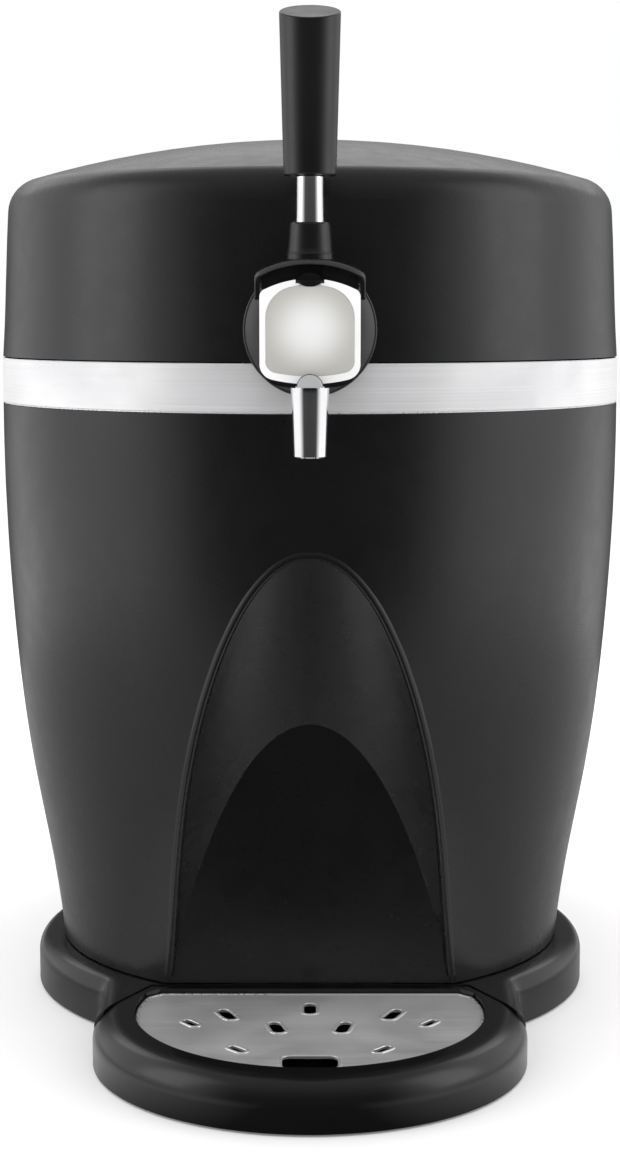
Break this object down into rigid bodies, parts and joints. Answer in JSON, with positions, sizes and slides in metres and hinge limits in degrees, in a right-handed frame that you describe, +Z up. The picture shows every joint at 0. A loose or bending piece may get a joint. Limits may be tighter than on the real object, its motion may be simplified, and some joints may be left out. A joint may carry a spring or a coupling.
{
  "type": "mini keg beer dispenser",
  "caption": "Countertop cooler and tap for a small party keg: barrel-shaped body with a hinged lid, a lever tap, a glass alcove and a removable drip tray.",
  "frame": {"origin": "on the floor under the middle of the barrel's axis, which is also the middle of the outline", "axes": "+Z up, -Y towards the user (tap and tray), +X to the right seen from the front"},
  "size_m": [0.276, 0.432, 0.4217],
  "materials": {
    "body_black": "satin, finely grained charcoal",
    "lid_black": "satin, finely grained charcoal",
    "base_black": "satin black",
    "band_steel": "brushed round the barrel",
    "plate_steel": "brushed",
    "tap_chrome": "polished",
    "face_satin": "satin",
    "tap_black": "semi-gloss black",
    "disc_grey": "satin dark grey",
    "grip_black": "semi-gloss black",
    "inner_grey": "matt",
    "liner_white": "satin",
    "chamber_aluminium": "spun satin",
    "cast_aluminium": "extruded",
    "rigid_foam": "closed-cell foam",
    "module_ceramic": "matt",
    "seal_rubber": "matt",
    "hose_silicone": "translucent",
    "coupler_white": "satin",
    "clear_plastic": "clear",
    "hinge_steel": "satin black",
    "zinc_screw": "zinc plated",
    "fan_black": "satin",
    "board_green": "lacquered",
    "component_black": "matt",
    "switch_black": "satin",
    "contact_brass": "plain"
  },
  "bodies": {
    "housing": {"barrel_rim": "inner_grey", "barrel_shell": "body_black", "base": "base_black", "base_screws": "zinc_screw", "beer_hose": "hose_silicone", "board_components": "component_black", "board_posts": "inner_grey", "bottom_plate": "base_black", "chamber_insulation": "rigid_foam", "circuit_board": "board_green", "cold_block": "cast_aluminium", "cooler_screws": "zinc_screw", "coupler_clip": "inner_grey", "cover_screws": "zinc_screw", "fan_frame": "fan_black", "fan_screws": "zinc_screw", "heat_sink": "cast_aluminium", "hinge_bracket": "hinge_steel", "hinge_pin": "hinge_steel", "hinge_screws": "zinc_screw", "inlet_pins": "contact_brass", "keg_chamber": "chamber_aluminium", "keg_coupler": "coupler_white", "keg_seat_ring": "inner_grey", "lever_pin": "hinge_steel", "nozzle_window": "clear_plastic", "peltier_module": "module_ceramic", "power_inlet": "switch_black", "rear_cover": "body_black", "rear_housing": "body_black", "rubber_feet": "seal_rubber", "spout": "tap_chrome", "steel_band": "band_steel", "switch_frame": "switch_black", "tap_backing": "tap_black", "tap_bezel": "tap_chrome", "tap_body": "tap_black", "tap_disc": "disc_grey", "tap_faceplate": "face_satin", "tap_post": "body_black", "tap_top_tab": "tap_black"},
    "lid": {"lid_shell": "lid_black", "lid_liner": "liner_white", "lid_screws": "zinc_screw", "lid_gasket": "seal_rubber", "lid_insulation": "rigid_foam", "lid_hinge": "hinge_steel", "lid_hinge_screws": "zinc_screw"},
    "lever": {"lever_yoke": "tap_black", "lever_collar": "tap_black", "lever_rod": "tap_chrome", "lever_grip": "grip_black"},
    "pinch_bar": {"pinch_bar": "contact_brass"},
    "tray": {"drip_tray": "base_black", "tray_feet": "seal_rubber"},
    "plate": {"drip_plate": "plate_steel"},
    "fan": {"fan_rotor": "fan_black"},
    "switch": {"switch_rocker": "switch_black"}
  },
  "joints": [
    {"name": "lid_hinge", "type": "hinge", "parent": "housing", "child": "lid", "pos_m": [0, 0.154, 0.268], "axis": [-1, 0, 0], "range_deg": [0, 85]},
    {"name": "lever_pull", "type": "hinge", "parent": "housing", "child": "lever", "pos_m": [0, -0.153, 0.284], "axis": [1, 0, 0], "range_deg": [0, 25], "stiffness_Nm_per_rad": 0.6, "springref_deg": -17.19},
    {"name": "pinch_slide", "type": "slide", "parent": "housing", "child": "pinch_bar", "axis": [0, 1, 0], "range_m": [0, 0.003]},
    {"name": "tray_slide", "type": "slide", "parent": "housing", "child": "tray", "axis": [0, -1, 0], "range_m": [0, 0.1]},
    {"name": "plate_lift", "type": "slide", "parent": "tray", "child": "plate", "axis": [0, 0, 1], "range_m": [0, 0.025]},
    {"name": "fan_spin", "type": "hinge", "parent": "housing", "child": "fan", "pos_m": [0, 0.169, 0.15], "axis": [0, 1, 0], "continuous": true},
    {"name": "switch_rock", "type": "hinge", "parent": "housing", "child": "switch", "pos_m": [0.036, 0.207, 0.078], "axis": [0, 0, -1], "range_deg": [0, 14]}
  ],
  "couplings": [
    {"joint": "pinch_slide", "follows": "lever_pull", "m_per_rad": 0.00687}
  ]
}
